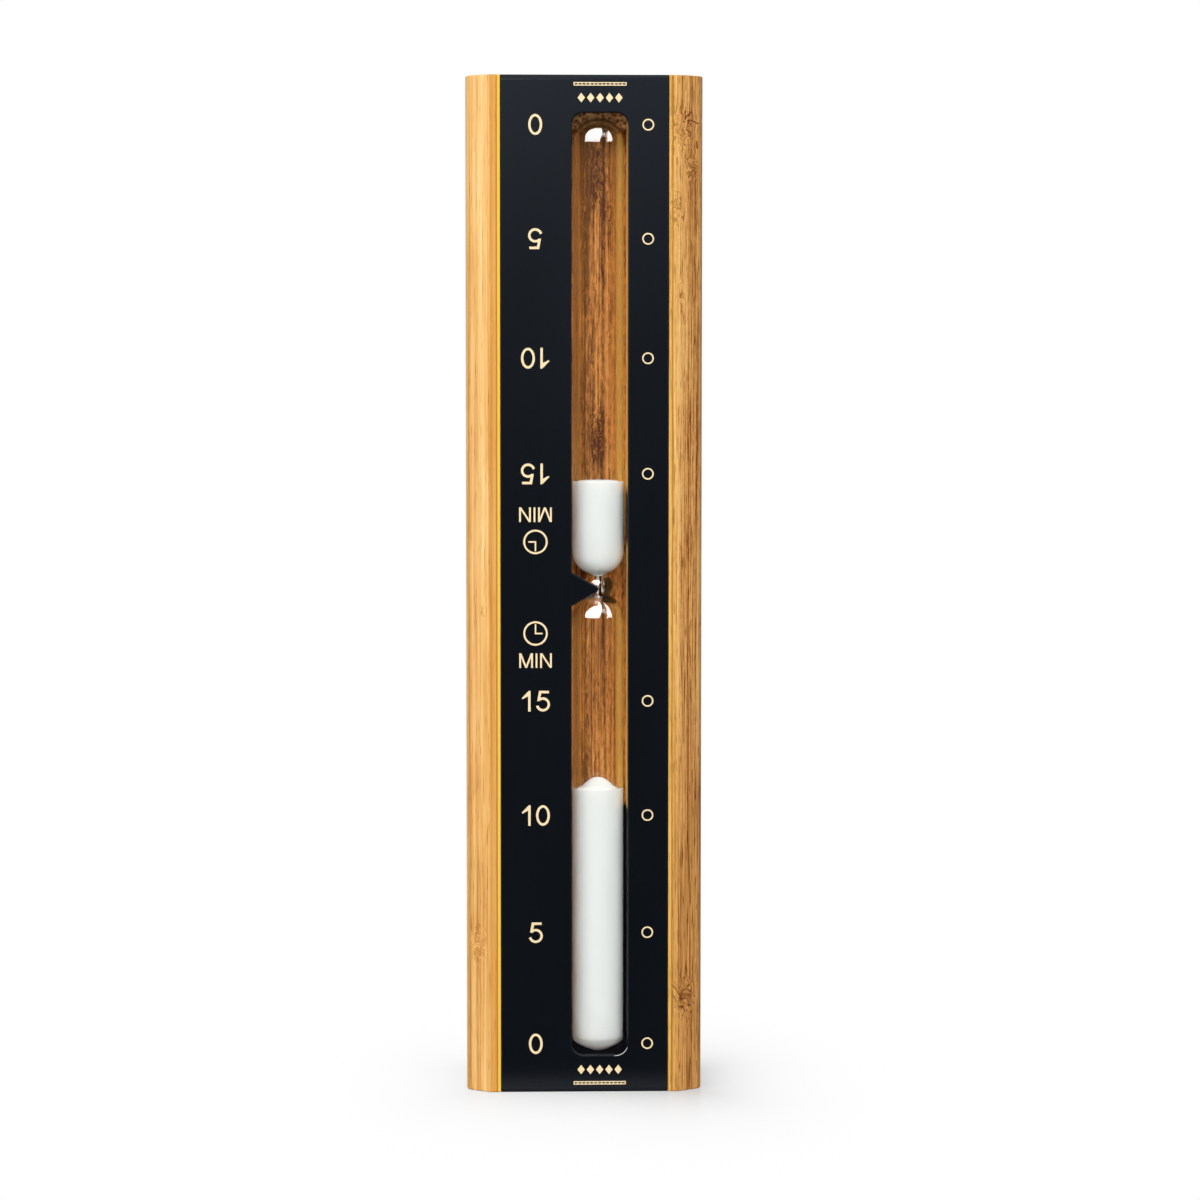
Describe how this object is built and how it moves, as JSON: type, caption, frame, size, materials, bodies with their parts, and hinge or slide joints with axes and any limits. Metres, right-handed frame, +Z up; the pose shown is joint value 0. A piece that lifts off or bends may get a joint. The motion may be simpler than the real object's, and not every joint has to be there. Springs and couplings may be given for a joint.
{
  "type": "sand timer",
  "caption": "Upright sand timer: bamboo body, black front plate with a slot and pale scale, glass double tube of white sand, and a swivel wall hanger sunk into the back.",
  "frame": {"origin": "middle of the base, on the surface that the timer stands on", "axes": "+Z up along the timer's length, -Y out of the front plate, +Y towards the wall, +X to the right seen from the front"},
  "size_m": [0.0698, 0.033, 0.3],
  "materials": {
    "bamboo": "satin lacquered laminated bamboo",
    "plate": "satin black sheet",
    "tape": "double-sided foam tape",
    "glass": "clear lamp-worked glass",
    "sand": "fine white quartz sand",
    "black_rubber": "matt black rubber",
    "cork": "matt brown cork",
    "brass": "turned brass",
    "steel": "zinc-plated satin steel",
    "washer": "brown fibre",
    "nylon": "natural nylon",
    "print": "pale gold screen print"
  },
  "bodies": {
    "wall_hanger": {"wall_disc": "steel", "disc_bush": "nylon"},
    "timer": {"left_rail": "bamboo", "right_rail": "bamboo", "back_board": "bamboo", "top_block": "bamboo", "bottom_block": "bamboo", "front_plate": "plate", "left_tape": "tape", "right_tape": "tape", "glass_ampoule": "glass", "upper_sand": "sand", "lower_sand": "sand", "top_cushion": "cork", "bottom_cushion": "black_rubber", "threaded_insert": "brass", "pivot_screw": "steel", "friction_washer": "washer", "upper_numerals": "print", "lower_numerals": "print", "upper_rings": "print", "lower_rings": "print", "upper_clock": "print", "lower_clock": "print", "upper_unit": "print", "lower_unit": "print", "upper_end_mark": "print", "lower_end_mark": "print"}
  },
  "joints": [
    {"name": "turn", "type": "hinge", "parent": "wall_hanger", "child": "timer", "pos_m": [0, 0.0142, 0.15], "axis": [0, 1, 0], "continuous": true}
  ]
}
